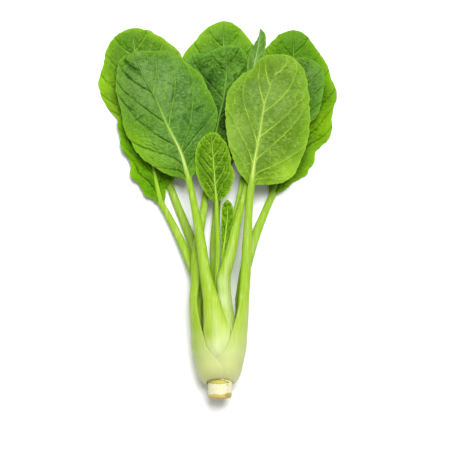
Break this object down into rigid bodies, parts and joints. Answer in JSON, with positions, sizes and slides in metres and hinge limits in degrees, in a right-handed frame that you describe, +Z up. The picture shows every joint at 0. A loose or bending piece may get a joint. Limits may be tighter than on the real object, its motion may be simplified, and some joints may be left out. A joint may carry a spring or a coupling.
{
  "type": "leafy brassica head",
  "caption": "Untied head of green-stemmed leafy brassica lying on its side: fleshy stalks clasp into a bulb on a cut stub and spread into round green blades.",
  "frame": {"origin": "middle of the outline in plan, on the surface that the head lies on", "axes": "+Y from the cut stub towards the leaf tips, +Z up, +X to the right as seen from above with the tips away"},
  "size_m": [0.1964, 0.31, 0.0447],
  "materials": {
    "stub_flesh": "matte, moist",
    "deep_green_leaf": "satin",
    "olive_green_leaf": "satin",
    "bright_green_leaf": "satin"
  },
  "bodies": {
    "root": {"stem_base": "stub_flesh", "leaf_01": "deep_green_leaf", "leaf_02": "olive_green_leaf", "leaf_03": "bright_green_leaf", "leaf_04": "deep_green_leaf", "leaf_05": "bright_green_leaf", "leaf_06": "bright_green_leaf", "leaf_07": "olive_green_leaf", "leaf_08": "bright_green_leaf", "leaf_09": "bright_green_leaf", "leaf_10": "olive_green_leaf", "leaf_11": "bright_green_leaf"}
  },
  "joints": []
}
